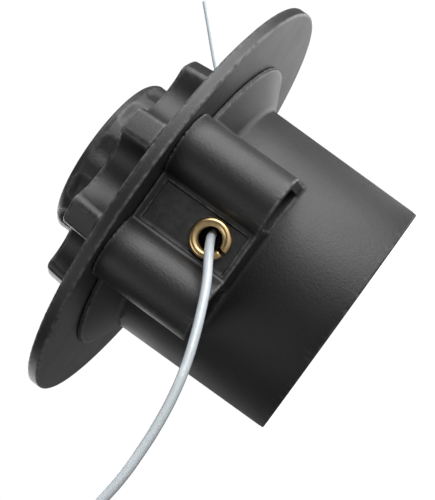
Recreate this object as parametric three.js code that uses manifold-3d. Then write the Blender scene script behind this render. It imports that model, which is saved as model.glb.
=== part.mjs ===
// Bump-feed line head for a brush cutter, in millimetres.
// It stands on the open end of its skirt at Z = 0 with the bump knob up.
// The head's axis is Z, and the two brass line eyelets face -Y (front) and +Y (back).
import * as THREE from "three";
import { mergeVertices } from "three/addons/utils/BufferGeometryUtils.js";
import Module from "manifold-3d";

const wasm = await Module();
wasm.setup();

// ---------------------------------------------------------------- driving dimensions
const GAP = 0.3; // clearance between pieces that seat on each other
const RUN = 0.5; // running clearance between pieces that turn or slide past each other
const FREE = 0.4; // end clearance of the index teeth and of the grip ring
const EPS = 1; // how far a cutter runs past the face that it opens
const TRAVEL = 5; // stroke of the bump knob
const SEGMENTS = 48; // facets round a full turn
const FINE = 24; // facets round a small turned piece
const RIM = 72; // facets round the cover

const skirtTopR = 38.3; // outer radius where the cone begins
const skirtTaper = 0.8; // how much smaller the radius is at the open end
const skirtWall = 3.3;
const webZ = 18; // underside of the web that seats on the gearbox
const webThick = 3.5;
const coneRise = 6.2; // height of the cone below the cover
const coneFlare = 10.2; // how much wider the cone is at the cover
const coneWall = 3.2;
const coverZ = 57; // underside of the cover disc
const coverR = 66;
const coverThick = 3.6;
const coverEdge = 0.5; // bevel on the rim
const spigotWall = 2; // locating ring under the cover
const spigotDepth = 2.4;

const floorOut = 14.7; // from the skirt to the flat floor between the two wings
const floorThick = 3;
const blockEndZ = 28.4; // lower end of a line-exit block
const wingR = 9; // radius of a wing's barrel
const wingU = 15.4; // offset of a wing from the block's centre plane
const wingBack = 2.8; // distance of the barrel's centre behind the floor
const wingWall = 3;
const pocketHalf = 6.2; // half width of the line pocket behind the floor
const pocketEndWall = 3;

const latchBarZ = 33; // underside of the bar across a wing's hollow
const latchBarThick = 3;
const latchBarOut = 0.6; // from the barrel's centre to the bar's inner face
const latchArmHalf = 3; // half width of a latch arm
const latchArmThick = 2.4;
const latchHookOut = 2; // how far the hook reaches under the bar
const latchHookHeight = 2.5;
const latchArmEnd = 1.2; // from the block's lower end to the arm's tip

const eyeletZ = 37.5;
const eyeletBoreR = 3.15;
const eyeletWall = 0.85;
const eyeletLip = 1.45; // how far the rolled lip stands out past the barrel
const eyeletLipRise = 1.5;
const eyeletLipEdge = 0.6;
const eyeletTail = 1.4; // how far the barrel runs past the floor's inner face
const eyeletSlot = 1;
const eyeletSlotTurn = 15; // degrees from straight down

const hubWall = 2.416; // of the housing's centre hub, at the shaft nut's corners
const hubClear = 1.2; // left between the hub and the bolt head when the knob is pressed
const shaftHoleR = 5.3;
const nutFlats = 16;
const nutLift = 0.5; // from the web's top to the shaft nut
const nutHeight = 16;
const nutThreadR = 4.4;
const washerR = 15;
const washerThick = 1.5;

const springWire = 1.8;
const springInClear = 1.5; // between the hub and the spring
const springOutClear = 1.2; // between the spring and its well
const springTurns = 5;
const springSteps = 12; // steps for each turn
const springSides = 6;
const thrustThick = 1.2;
const thrustClear = 0.7; // between the thrust washer and the spring's well
const ledgeZ = 43.5; // the ledge inside the spool that the spring pushes

const spoolFlange = 2;
const dividerThick = 1.5;
const barrelWall = 2.5; // between the spring's well and the wound line
const neckR = 26.5;
const neckWall = 3;
const neckPlate = 3.7;
const windingDepth = 11.5; // how far the wound line stands out from the barrel
const teeth = 8; // index teeth on each face of the spool
const toothHeight = 2;
const toothHalfTurn = 8; // degrees
const toothInset = 1; // from the flange's rim to the teeth
const pressClear = 1; // left under the spool's teeth when the knob is pressed

const gripHeight = 10;
const gripWidth = 12.6; // from its well to its front edge
const gripTaper = 1; // how much wider the ring is at its foot
const lobes = 8;
const lobePhase = 19.3; // degrees
const scoopR = 10.7;
const scoopOut = 1.8; // from the ring's front edge to a scoop's centre
const gripFloor = 3;
const lobeWallIn = 3.4; // from the well to a lobe's hollow
const lobeWallOut = 2.6; // from a lobe's hollow to the front edge
const lobeCoreHalf = 2.6;

const knobR = 25.3;
const knobRise = 8; // from the grip ring's face to the knob's front edge
const crownRise = 1.8; // of the knob's face
const crownSteps = 5;
const knobWall = 3;
const knobBevel = 0.8;
const knobFit = 0.9; // clearance between the knob and the grip ring's well
const flutes = 12;
const flutePhase = 17.8; // degrees, of a crest
const fluteR = 9.5;
const fluteDepth = 1;
const bossR = 7.5;

const boltR = 3;
const boltClear = 3.3;
const boltHeadFlats = 10;
const boltHead = 4;
const boltNutHeight = 5;
const boltNutLift = 8; // from the grip ring's underside to the nut
const boltPast = 1.5; // how far the bolt stands out of its nut
const boltWasherR = 8;
const boltWasherThick = 1.2;

const lineD = 2.4;

// Routes of the two free line ends, from just outside the spool to the cut end.
const leadFrontRoute = [
  [1.9, -35.6, 39], [1.7, -41, 38.9], [1.4, -46, 38.6], [0.8, -50.6, 38.1], [-0.7, -54.8, 36.9],
  [-3.7, -58.8, 34.5], [-8.2, -62.9, 31.1], [-13.9, -67, 27.8], [-19.7, -70.4, 25], [-25.8, -73.3, 22.6],
  [-32.2, -75.9, 20.8], [-39.2, -78.4, 19.6], [-46.5, -80.8, 19], [-52.9, -83, 18.9],
  [-58.5, -85, 19.4], [-64, -87.1, 20.3], [-70, -89.3, 21.6], [-76, -91.5, 23.1], [-82, -93.7, 24.7],
];
const leadBackRoute = [
  [-1.9, 35.6, 36.2], [-1.7, 41, 36.3], [-1.4, 46, 36.6], [-0.8, 50.6, 37], [0.7, 54.8, 38.3],
  [3.4, 58.6, 40.9], [7.2, 62.2, 45], [11.8, 65.7, 50.2], [16.9, 68.8, 56], [22.4, 71.7, 62.3],
  [28.2, 74.4, 69], [34, 76.8, 76], [39.8, 78.9, 82.8], [45.4, 80.9, 89.3], [50.4, 83.6, 94.9],
  [55.4, 86.3, 100.3], [59.9, 88.8, 105.2], [63.8, 90.9, 109.5],
];
const leadSteps = 36;

// ---------------------------------------------------------------- tied dimensions
const skirtFootR = skirtTopR - skirtTaper;
const cupR = skirtFootR - skirtWall;
const chamberR = skirtTopR - skirtWall;
const webTopZ = webZ + webThick;
const coneBottomZ = coverZ - coneRise;
const coneTopR = skirtTopR + coneFlare;
const coneInR = coneTopR - coneWall;
const coverTopZ = coverZ + coverThick;
const housingTopZ = coverZ - GAP;

const blockFloorV = skirtTopR + floorOut; // from the head's axis to the floor
const wingV = blockFloorV - wingBack; // from the head's axis to the barrel's centre
const blockHalf = wingU + wingR;
const wingHollowR = wingR - wingWall;
const latchBarV = wingV + latchBarOut;
const eyeletBarrelR = eyeletBoreR + eyeletWall;
const eyeletLipR = eyeletBarrelR + eyeletLip;

const nutZ = webTopZ + nutLift;
const nutCornerR = (nutFlats / 2 + GAP) / Math.cos(Math.PI / 6);
const hubR = nutCornerR + hubWall;
const springMeanR = hubR + springInClear + springWire / 2;
const springWellR = springMeanR + springWire / 2 + springOutClear;
const thrustR = springWellR - thrustClear;
const spoolBarrelR = springWellR + barrelWall;
const toothClear = 2 * toothHeight; // two rows of teeth between the spool and its housing
const spoolBottomZ = webTopZ + toothClear + TRAVEL + pressClear;
const spoolTopZ = coverZ - toothClear - FREE;
const dividerZ = (spoolBottomZ + spoolTopZ - dividerThick) / 2;
const spoolR = chamberR - RUN - GAP;
const windingR = spoolBarrelR + windingDepth;
const openingR = neckR + RUN + GAP;
const toothInR = openingR + GAP;
const toothOutR = spoolR - toothInset;
const thrustZ = ledgeZ - GAP - thrustThick;

const gripZ = coverTopZ + TRAVEL + FREE;
const gripTopZ = gripZ + gripHeight;
const neckTopZ = gripZ - GAP;
const gripWellR = knobR + knobFit;
const gripR = gripWellR + gripWidth; // outer radius of the ring's front edge
const gripFootR = gripR + gripTaper;
const scoopCentreR = gripR + scoopOut;
const lobeCoreIn = gripWellR + lobeWallIn;
const lobeCoreOut = gripR - lobeWallOut;
const knobEdgeZ = gripTopZ + knobRise;
const knobTopZ = knobEdgeZ + crownRise;
const knobWallBottomZ = gripZ + gripFloor + GAP;
const boltWasherZ = neckTopZ - neckPlate - GAP - boltWasherThick;
const boltHeadTopZ = boltWasherZ - GAP;
const boltNutZ = gripZ + boltNutLift;
const boltTipZ = boltNutZ + boltNutHeight + boltPast;
const hubTopZ = boltHeadTopZ - boltHead - TRAVEL - hubClear;

const deg = THREE.MathUtils.degToRad;

// ---------------------------------------------------------------- solid helpers
// A closed three.js geometry as a manifold-3d solid.
function solid(geometry) {
  const bare = geometry.clone();
  bare.deleteAttribute("normal");
  bare.deleteAttribute("uv");
  const merged = mergeVertices(bare, 1e-4);
  const vertProperties = new Float32Array(merged.attributes.position.array);
  const triVerts = new Uint32Array(merged.index.array);
  return new wasm.Manifold(new wasm.Mesh({ numProp: 3, vertProperties, triVerts }));
}

// A turned solid about Z. The points are [radius, z] pairs, upwards along the outer side.
function turned(points, segments = SEGMENTS) {
  const profile = points.map(([r, z]) => new THREE.Vector2(r, z));
  return solid(new THREE.LatheGeometry(profile, segments).rotateX(Math.PI / 2));
}

function tube(innerR, outerR, z0, z1, segments = SEGMENTS) {
  return turned([[innerR, z0], [outerR, z0], [outerR, z1], [innerR, z1], [innerR, z0]], segments);
}

function disc(r, z0, z1, segments = SEGMENTS) {
  return turned([[0, z0], [r, z0], [r, z1], [0, z1]], segments);
}

function box(x0, x1, y0, y1, z0, z1) {
  const g = new THREE.BoxGeometry(x1 - x0, y1 - y0, z1 - z0);
  return solid(g.translate((x0 + x1) / 2, (y0 + y1) / 2, (z0 + z1) / 2));
}

// An upright hexagonal prism with two of its flats facing X.
function hexagon(flats, z0, z1) {
  const g = new THREE.CylinderGeometry(flats / Math.sqrt(3), flats / Math.sqrt(3), z1 - z0, 6);
  return solid(g.rotateX(Math.PI / 2).translate(0, 0, (z0 + z1) / 2));
}

// An upright round post about (x, y).
function post(x, y, r, z0, z1, segments = FINE) {
  return disc(r, z0, z1, segments).translate([x, y, 0]);
}

function union(list) {
  return list.reduce((sum, piece) => sum.add(piece));
}

// Copies of a solid turned about Z, the first one by the phase.
function around(piece, count, phase = 0) {
  const copies = [];
  for (let i = 0; i < count; i += 1) {
    copies.push(piece.rotate([0, 0, phase + (360 / count) * i]));
  }
  return copies;
}

// A block of an index ring: a short sector of a flat ring, centred on +X.
function sector(innerR, outerR, halfTurn, z0, z1) {
  const shape = new THREE.Shape();
  shape.absarc(0, 0, outerR, -deg(halfTurn), deg(halfTurn), false);
  shape.absarc(0, 0, innerR, deg(halfTurn), -deg(halfTurn), true);
  const g = new THREE.ExtrudeGeometry(shape, { depth: z1 - z0, bevelEnabled: false, curveSegments: 2 });
  return solid(g.translate(0, 0, z0));
}

// A round tube that follows a curve.
function swept(curve, radius, steps, sides) {
  const section = new THREE.Shape();
  for (let i = 0; i < sides; i += 1) {
    const turn = (2 * Math.PI * i) / sides;
    const method = i === 0 ? "moveTo" : "lineTo";
    section[method](radius * Math.cos(turn), radius * Math.sin(turn));
  }
  section.closePath();
  return solid(new THREE.ExtrudeGeometry(section, { steps, extrudePath: curve, bevelEnabled: false }));
}

// ---------------------------------------------------------------- finishes
function finish(color, roughness, metalness) {
  return new THREE.MeshStandardMaterial({ color, roughness, metalness });
}

const nylon = () => finish(0x232325, 0.5, 0);
const brass = () => finish(0xb98a4a, 0.35, 1);
const steel = () => finish(0x9a9c9f, 0.35, 1);
const line = () => finish(0xc9d6e2, 0.3, 0);

const group = new THREE.Group();

function place(name, piece, material) {
  const made = piece.getMesh();
  const geometry = new THREE.BufferGeometry();
  geometry.setAttribute("position", new THREE.BufferAttribute(new Float32Array(made.vertProperties), 3));
  geometry.setIndex(new THREE.BufferAttribute(new Uint32Array(made.triVerts), 1));
  geometry.computeVertexNormals();
  const mesh = new THREE.Mesh(geometry, material);
  mesh.name = name;
  group.add(mesh);
}

// ---------------------------------------------------------------- housing
// One line-exit block on the -Y side: two barrel wings with a flat floor between them.
function exitBlock() {
  const inside = chamberR - EPS;
  const top = housingTopZ;
  const core = box(-wingU, wingU, -blockFloorV, -inside, blockEndZ, top);
  const base = box(-blockHalf, blockHalf, -wingV, -inside + wingR, blockEndZ, top);
  const barrels = [-wingU, wingU].map((u) => post(u, -wingV, wingR, blockEndZ, top));
  return union([core, base, ...barrels]);
}

// The hollow of one wing, open at both ends. The cover's latch arm stands in it.
function wingHollow(side) {
  const u = side * wingU;
  const z0 = blockEndZ - EPS;
  const z1 = housingTopZ + EPS;
  const barrel = post(u, -wingV, wingHollowR, z0, z1);
  const leg = box(u - wingHollowR, u + wingHollowR, -wingV, -chamberR / 2, z0, z1);
  return barrel.add(leg);
}

// The bar across a wing's hollow that the latch hook catches.
function latchBar(side) {
  const u = side * wingU;
  const reach = wingHollowR + wingWall / 2;
  const top = latchBarZ + latchBarThick;
  return box(u - reach, u + reach, -latchBarV - wingHollowR, -latchBarV, latchBarZ, top)
    .intersect(post(u, -wingV, reach, blockEndZ, housingTopZ));
}

function eyeletHole() {
  const r = eyeletBarrelR + GAP;
  return disc(r, blockFloorV - floorThick - EPS, blockFloorV + EPS, FINE)
    .rotate([90, 0, 0])
    .translate([0, 0, eyeletZ]);
}

function housing() {
  const body = turned([
    [0, 0], [skirtFootR, 0], [skirtTopR, coneBottomZ], [coneTopR, housingTopZ - EPS],
    [coneTopR, housingTopZ], [0, housingTopZ],
  ]);
  const blocks = around(exitBlock(), 2);
  const wall = disc(skirtTopR, 0, housingTopZ);
  const hollows = union([wingHollow(-1), wingHollow(1)]).subtract(wall);
  const pocket = box(
    -pocketHalf, pocketHalf, -(blockFloorV - floorThick), -chamberR / 2,
    blockEndZ + pocketEndWall, coneBottomZ + floorThick,
  );
  const chamber = turned([
    [0, webTopZ], [chamberR, webTopZ], [chamberR, coneBottomZ],
    [coneInR, housingTopZ], [coneInR, housingTopZ + EPS], [0, housingTopZ + EPS],
  ]);
  const cup = turned([[0, -EPS], [cupR, -EPS], [cupR, webZ], [0, webZ]]);
  const hub = disc(hubR, webZ, hubTopZ);
  const nutPocket = hexagon(nutFlats + 2 * GAP, nutZ - GAP, nutZ + nutHeight + GAP);
  const shaftHole = disc(shaftHoleR, webZ - EPS, hubTopZ + EPS, FINE);
  const lugInR = springMeanR + 2 * springWire + RUN;
  const lug = sector(lugInR, chamberR - RUN, toothHalfTurn, webTopZ - EPS, webTopZ + toothHeight);
  return union([body, ...blocks])
    .subtract(union(around(hollows, 2)))
    .add(union(around(latchBar(-1).add(latchBar(1)), 2)))
    .subtract(union([chamber, cup, ...around(pocket, 2), ...around(eyeletHole(), 2)]))
    .add(union([hub, ...around(lug, teeth)]))
    .subtract(union([nutPocket, shaftHole]));
}

// ---------------------------------------------------------------- cover
// A latch arm that hangs from the cover into a wing and hooks under its bar.
function latchArm(side) {
  const x0 = side * wingU - latchArmHalf;
  const x1 = side * wingU + latchArmHalf;
  const outer = latchBarV - RUN;
  const hookTop = latchBarZ - GAP;
  const arm = box(x0, x1, -outer, -outer + latchArmThick, blockEndZ + latchArmEnd, coverZ + EPS);
  const hook = box(x0, x1, -outer - latchHookOut, -outer, hookTop - latchHookHeight, hookTop);
  return arm.add(hook);
}

function cover() {
  const disk = turned([
    [openingR, coverZ], [coverR - coverEdge, coverZ], [coverR, coverZ + coverEdge],
    [coverR, coverTopZ - coverEdge], [coverR - coverEdge, coverTopZ], [openingR, coverTopZ],
    [openingR, coverZ],
  ], RIM);
  const spigotR = (chamberR + coneInR) / 2;
  const spigot = tube(spigotR - spigotWall, spigotR, coverZ - spigotDepth, coverZ + EPS)
    .subtract(union(around(box(-blockHalf, blockHalf, -coverR, 0, 0, coverZ), 2)));
  const lug = sector(toothInR, toothOutR, toothHalfTurn, coverZ - toothHeight, coverZ + EPS);
  const arms = latchArm(-1).add(latchArm(1));
  return union([disk, spigot, ...around(lug, teeth), ...around(arms, 2)]);
}

// ---------------------------------------------------------------- eyelets
// A split brass ferrule with a rolled lip, made along Z and turned to face -Y.
function eyelet() {
  const seat = blockFloorV + GAP;
  const top = seat + eyeletLipRise;
  const inner = blockFloorV - floorThick - eyeletTail;
  const flare = eyeletBoreR + eyeletWall / 2; // where the bore opens at its inner end
  const crest = (eyeletBoreR + eyeletLipR) / 2;
  const ferrule = turned([
    [flare, inner], [eyeletBarrelR, inner], [eyeletBarrelR, seat], [eyeletLipR, seat],
    [eyeletLipR, seat + eyeletLipEdge], [crest, top], [eyeletBoreR, top - eyeletLipEdge],
    [eyeletBoreR, inner + eyeletWall], [flare, inner],
  ], FINE);
  const slot = box(-eyeletSlot / 2, eyeletSlot / 2, 0, eyeletLipR + EPS, inner - EPS, top + EPS)
    .rotate([0, 0, 180 - eyeletSlotTurn]);
  return ferrule.subtract(slot).rotate([90, 0, 0]).translate([0, 0, eyeletZ]);
}

// ---------------------------------------------------------------- drive
function arborNut() {
  return hexagon(nutFlats, nutZ, nutZ + nutHeight)
    .subtract(disc(nutThreadR, nutZ - EPS, nutZ + nutHeight + EPS, FINE));
}

function arborWasher() {
  return tube(shaftHoleR + GAP, washerR, webZ - GAP - washerThick, webZ - GAP, FINE);
}

// ---------------------------------------------------------------- spring and its seat
class Helix extends THREE.Curve {
  constructor(radius, z0, z1, turns) {
    super();
    Object.assign(this, { radius, z0, z1, turns });
  }

  getPoint(t, target = new THREE.Vector3()) {
    const turn = 2 * Math.PI * this.turns * t;
    return target.set(
      this.radius * Math.cos(turn), this.radius * Math.sin(turn), this.z0 + (this.z1 - this.z0) * t,
    );
  }
}

function returnSpring() {
  const seat = FREE + springWire / 2;
  const helix = new Helix(springMeanR, webTopZ + seat, thrustZ - seat, springTurns);
  return swept(helix, springWire / 2, springTurns * springSteps, springSides);
}

function thrustWasher() {
  return tube(hubR + RUN, thrustR, thrustZ, thrustZ + thrustThick, FINE);
}

// ---------------------------------------------------------------- spool
function spool() {
  const lowerTop = spoolBottomZ + spoolFlange;
  const upperBottom = spoolTopZ - spoolFlange;
  const outer = turned([
    [0, spoolBottomZ], [spoolR, spoolBottomZ], [spoolR, lowerTop], [spoolBarrelR, lowerTop],
    [spoolBarrelR, dividerZ], [spoolR, dividerZ], [spoolR, dividerZ + dividerThick],
    [spoolBarrelR, dividerZ + dividerThick], [spoolBarrelR, upperBottom], [spoolR, upperBottom],
    [spoolR, spoolTopZ], [neckR, spoolTopZ], [neckR, neckTopZ], [0, neckTopZ],
  ]);
  const hollowTopZ = neckTopZ - neckPlate;
  const hollow = turned([
    [0, spoolBottomZ - EPS], [springWellR, spoolBottomZ - EPS], [springWellR, ledgeZ],
    [hubR + RUN, ledgeZ], [hubR + RUN, spoolTopZ - spoolFlange], [neckR - neckWall, spoolTopZ],
    [neckR - neckWall, hollowTopZ], [0, hollowTopZ],
  ]);
  const boltHole = disc(boltClear, hollowTopZ - EPS, neckTopZ + EPS, FINE);
  const lower = sector(toothInR, toothOutR, toothHalfTurn, spoolBottomZ - toothHeight, spoolBottomZ + EPS);
  const upper = sector(toothInR, toothOutR, toothHalfTurn, spoolTopZ - EPS, spoolTopZ + toothHeight);
  return union([outer, ...around(lower, teeth), ...around(upper, teeth)])
    .subtract(hollow.add(boltHole));
}

function winding(z0, z1) {
  return tube(spoolBarrelR + GAP, windingR, z0 + GAP, z1 - GAP, 32);
}

// ---------------------------------------------------------------- grip ring and knob
function scoops(radius, z0, z1) {
  return union(around(post(scoopCentreR, 0, radius, z0, z1, 32), lobes, lobePhase + 180 / lobes));
}

function gripRing() {
  const blank = turned([[0, gripZ], [gripFootR, gripZ], [gripR, gripTopZ], [0, gripTopZ]]);
  const well = disc(gripWellR, gripZ + gripFloor, gripTopZ + EPS);
  const core = box(
    lobeCoreIn, lobeCoreOut, -lobeCoreHalf, lobeCoreHalf, gripZ - EPS, gripTopZ - gripFloor,
  );
  return blank
    .subtract(scoops(scoopR, gripZ - EPS, gripTopZ + EPS))
    .subtract(union([well, ...around(core, lobes, lobePhase)]))
    .subtract(disc(boltClear, gripZ - EPS, gripTopZ, FINE));
}

function bumpKnob() {
  const faceR = knobR - knobBevel;
  const crownR = (faceR * faceR + crownRise * crownRise) / (2 * crownRise);
  const crown = (r, z0) => [r, z0 - crownR + Math.sqrt(crownR * crownR - r * r)];
  const crownPoints = [];
  for (let i = crownSteps - 1; i >= 0; i -= 1) {
    crownPoints.push(crown((faceR * i) / crownSteps, knobTopZ));
  }
  const shell = turned([
    [0, knobWallBottomZ], [knobR, knobWallBottomZ], [knobR, knobEdgeZ - knobBevel],
    [faceR, knobEdgeZ], ...crownPoints,
  ]);
  const inside = turned([
    [bossR, knobWallBottomZ - EPS], [knobR - knobWall, knobWallBottomZ - EPS],
    [knobR - knobWall, knobEdgeZ - knobWall], crown(bossR, knobTopZ - knobWall),
    [bossR, knobWallBottomZ - EPS],
  ]);
  const boltHole = disc(boltClear, knobWallBottomZ - EPS, boltTipZ + EPS, FINE);
  const nutPocket = hexagon(boltHeadFlats + 2 * GAP, boltNutZ - GAP, boltNutZ + boltNutHeight + GAP);
  const cutter = post(knobR + fluteR - fluteDepth, 0, fluteR, gripTopZ - EPS, knobTopZ + EPS, FINE);
  return shell
    .subtract(union([inside, boltHole, nutPocket]))
    .subtract(union(around(cutter, flutes, flutePhase + 180 / flutes)));
}

// ---------------------------------------------------------------- knob bolt, washer and nut
function knobBolt() {
  return hexagon(boltHeadFlats, boltHeadTopZ - boltHead, boltHeadTopZ)
    .add(disc(boltR, boltHeadTopZ - EPS, boltTipZ, FINE));
}

function knobWasher() {
  return tube(boltClear, boltWasherR, boltWasherZ, boltWasherZ + boltWasherThick, FINE);
}

function knobNut() {
  return hexagon(boltHeadFlats, boltNutZ, boltNutZ + boltNutHeight)
    .subtract(disc(boltClear, boltNutZ - EPS, boltNutZ + boltNutHeight + EPS, FINE));
}

// ---------------------------------------------------------------- free line ends
function lead(route) {
  const points = route.map(([x, y, z]) => new THREE.Vector3(x, y, z));
  return swept(new THREE.CatmullRomCurve3(points), lineD / 2, leadSteps, 8);
}

// ---------------------------------------------------------------- assembly
place("housing", housing(), nylon());
place("cover", cover(), nylon());
place("eyelet_front", eyelet(), brass());
place("eyelet_back", eyelet().rotate([0, 0, 180]), brass());
place("arbor_nut", arborNut(), steel());
place("arbor_washer", arborWasher(), steel());
place("return_spring", returnSpring(), steel());
place("thrust_washer", thrustWasher(), steel());
place("spool", spool(), nylon());
place("winding_lower", winding(spoolBottomZ + spoolFlange, dividerZ), line());
place("winding_upper", winding(dividerZ + dividerThick, spoolTopZ - spoolFlange), line());
place("grip_ring", gripRing(), nylon());
place("bump_knob", bumpKnob(), nylon());
place("knob_bolt", knobBolt(), steel());
place("knob_washer", knobWasher(), steel());
place("knob_nut", knobNut(), steel());
place("line_lead_front", lead(leadFrontRoute), line());
place("line_lead_back", lead(leadBackRoute), line());

export default group;
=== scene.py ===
"""Bump-feed line head for a brush cutter: the finished pieces, their materials and the studio.

Every moulded or turned piece is described as a distance field in millimetres, so that its fillets
are true arcs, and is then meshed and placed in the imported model's frame, in metres.
"""

from __future__ import annotations

import logging
import math
from dataclasses import dataclass, field
from enum import Enum
from typing import Callable

import bmesh
import bpy
import numpy as np
from mathutils import Matrix, Vector

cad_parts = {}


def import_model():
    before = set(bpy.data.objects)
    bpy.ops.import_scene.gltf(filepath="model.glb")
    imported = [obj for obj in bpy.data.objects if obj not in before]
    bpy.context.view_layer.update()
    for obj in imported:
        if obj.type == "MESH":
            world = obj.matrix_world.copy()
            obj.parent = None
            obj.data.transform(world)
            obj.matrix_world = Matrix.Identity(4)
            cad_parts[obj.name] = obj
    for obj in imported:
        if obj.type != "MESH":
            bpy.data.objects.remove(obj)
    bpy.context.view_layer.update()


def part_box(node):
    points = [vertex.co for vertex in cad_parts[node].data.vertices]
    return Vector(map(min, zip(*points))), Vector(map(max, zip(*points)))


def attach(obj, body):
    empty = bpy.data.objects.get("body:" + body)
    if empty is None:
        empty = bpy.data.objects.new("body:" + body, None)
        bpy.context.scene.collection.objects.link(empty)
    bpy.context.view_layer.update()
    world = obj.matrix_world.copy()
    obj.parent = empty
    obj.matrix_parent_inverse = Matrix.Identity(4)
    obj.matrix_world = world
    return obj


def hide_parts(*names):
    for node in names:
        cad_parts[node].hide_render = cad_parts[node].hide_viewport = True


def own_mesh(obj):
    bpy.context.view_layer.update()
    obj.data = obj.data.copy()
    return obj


log = logging.getLogger("line_head")

MM = 0.001
CHAMFER_OUT, CHAMFER_UP = 0.5, 0.87  # slope of the 30 degree chamfer on a nut or a bolt head
FLANK = 0.75  # brings a field with a thread in it back to about a true distance
OVERLAP = 1.0  # how far a shape runs past the face that it joins or opens, in millimetres
Array = np.ndarray
Field = Callable[[Array, Array, Array], Array]

# Free ends of the line, from just outside the spool to the cut end, in metres.
FRONT_ROUTE = [
    (0.0019, -0.0356, 0.0390), (0.0017, -0.0410, 0.0389), (0.0014, -0.0460, 0.0386),
    (0.0008, -0.0506, 0.0381), (-0.0007, -0.0548, 0.0369), (-0.0037, -0.0588, 0.0345),
    (-0.0082, -0.0629, 0.0311), (-0.0139, -0.0670, 0.0278), (-0.0197, -0.0704, 0.0250),
    (-0.0258, -0.0733, 0.0226), (-0.0322, -0.0759, 0.0208), (-0.0392, -0.0784, 0.0196),
    (-0.0465, -0.0808, 0.0190), (-0.0529, -0.0830, 0.0189), (-0.0585, -0.0850, 0.0194),
    (-0.0640, -0.0871, 0.0203), (-0.0700, -0.0893, 0.0216), (-0.0760, -0.0915, 0.0231),
    (-0.0820, -0.0937, 0.0247),
]
BACK_ROUTE = [
    (-0.0019, 0.0356, 0.0362), (-0.0017, 0.0410, 0.0363), (-0.0014, 0.0460, 0.0366),
    (-0.0008, 0.0506, 0.0370), (0.0007, 0.0548, 0.0383), (0.0034, 0.0586, 0.0409),
    (0.0072, 0.0622, 0.0450), (0.0118, 0.0657, 0.0502), (0.0169, 0.0688, 0.0560),
    (0.0224, 0.0717, 0.0623), (0.0282, 0.0744, 0.0690), (0.0340, 0.0768, 0.0760),
    (0.0398, 0.0789, 0.0828), (0.0454, 0.0809, 0.0893), (0.0504, 0.0836, 0.0949),
    (0.0554, 0.0863, 0.1003), (0.0599, 0.0888, 0.1052), (0.0638, 0.0909, 0.1095),
]

# Name, direction from the head, distance, size and power of each soft box.
LAMPS = [
    ("key", (0.72, -0.66, 0.20), 0.75, (0.42, 0.55), 4.3),
    ("side", (1.0, -0.18, 0.14), 0.8, (0.5, 0.5), 4.4),
    ("back", (-0.55, 0.75, 0.42), 0.85, (0.5, 0.5), 3.0),
    ("fill", (-0.75, -0.60, 0.45), 0.9, (0.5, 0.5), 1.5),
    ("top", (0.45, 0.1, 0.9), 0.9, (0.6, 0.6), 3.0),
]


class Slot(Enum):
    """The record's material slots."""

    NYLON = "black_nylon"
    KNOB = "knob_nylon"
    BRASS = "brass"
    STEEL = "steel"
    LINE = "cutting_line"


# ------------------------------------------------------------------ distance fields
def join(a: Array, b: Array, fillet: float = 0.0) -> Array:
    """Unites two distance fields.

    Args:
        a: First field, in millimetres, negative inside.
        b: Second field.
        fillet: Radius of the hollow fillet where the two surfaces meet.

    Returns:
        The field of the united shape.
    """
    if fillet <= 0:
        return np.minimum(a, b)
    u = np.maximum(fillet - a, 0)
    v = np.maximum(fillet - b, 0)
    return np.maximum(fillet, np.minimum(a, b)) - np.hypot(u, v)


def meet(a: Array, b: Array, rounding: float = 0.0) -> Array:
    """Keeps what lies in both fields, with its outer edge rounded."""
    return -join(-a, -b, rounding)


def cut(a: Array, b: Array, rounding: float = 0.0) -> Array:
    """Takes the second field away from the first, with the edge rounded."""
    return -join(-a, b, rounding)


def slab(t: Array, low: float, high: float) -> Array:
    """Distance to the space between two parallel planes."""
    return np.maximum(low - t, t - high)


def post(x: Array, y: Array, cx: float, cy: float, radius: float) -> Array:
    """Distance to an upright cylinder."""
    return np.hypot(x - cx, y - cy) - radius


def block(x: Array, y: Array, low: tuple[float, float], high: tuple[float, float]) -> Array:
    """Distance to a rectangle in a plane, exact outside its corners.

    Args:
        x: First coordinate.
        y: Second coordinate.
        low: The rectangle's lowest corner.
        high: Its highest corner.

    Returns:
        Distance to the surface, negative inside.
    """
    dx = np.maximum(low[0] - x, x - high[0])
    dy = np.maximum(low[1] - y, y - high[1])
    outside = np.hypot(np.maximum(dx, 0), np.maximum(dy, 0))
    return outside + np.minimum(np.maximum(dx, dy), 0)


def cone(r: Array, z: Array, foot: tuple[float, float], head: tuple[float, float]) -> Array:
    """Distance to the inside of a cone through two (radius, height) points."""
    dr, dz = head[0] - foot[0], head[1] - foot[1]
    return ((r - foot[0]) * dz - (z - foot[1]) * dr) / math.hypot(dr, dz)


def hexagon(x: Array, y: Array, flats: float) -> Array:
    """Distance to a hexagonal prism with two flats facing X."""
    faces = [np.abs(x * math.cos(a) + y * math.sin(a)) for a in (0, math.pi / 3, -math.pi / 3)]
    return np.maximum.reduce(faces) - flats / 2


def sector_fold(x: Array, y: Array, count: int, phase: float) -> tuple[Array, Array]:
    """Folds the plane so that one shape near +X repeats round the axis.

    Args:
        x: Across coordinate.
        y: Along coordinate.
        count: Number of copies in a full turn.
        phase: Direction of the first copy, in degrees.

    Returns:
        The folded x and y.
    """
    pitch = 2 * math.pi / count
    turn = np.arctan2(y, x) - math.radians(phase)
    turn = turn - pitch * np.round(turn / pitch)
    r = np.hypot(x, y)
    return r * np.cos(turn), r * np.sin(turn)


def index_teeth(
    x: Array, y: Array, count: int, half_turn: float, ring: tuple[float, float]
) -> Array:
    """Distance to a ring of wedge-shaped index teeth, endless in height.

    Args:
        x: Across, in millimetres.
        y: Front to back.
        count: Number of teeth.
        half_turn: Half the turn that a tooth takes up, in degrees.
        ring: Inner and outer radius of the teeth.

    Returns:
        Distance to the surface, negative inside.
    """
    fx, fy = sector_fold(x, y, count, 0)
    turn = np.abs(fy) - fx * math.tan(math.radians(half_turn))
    return np.maximum(turn, slab(np.hypot(x, y), *ring))


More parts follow.
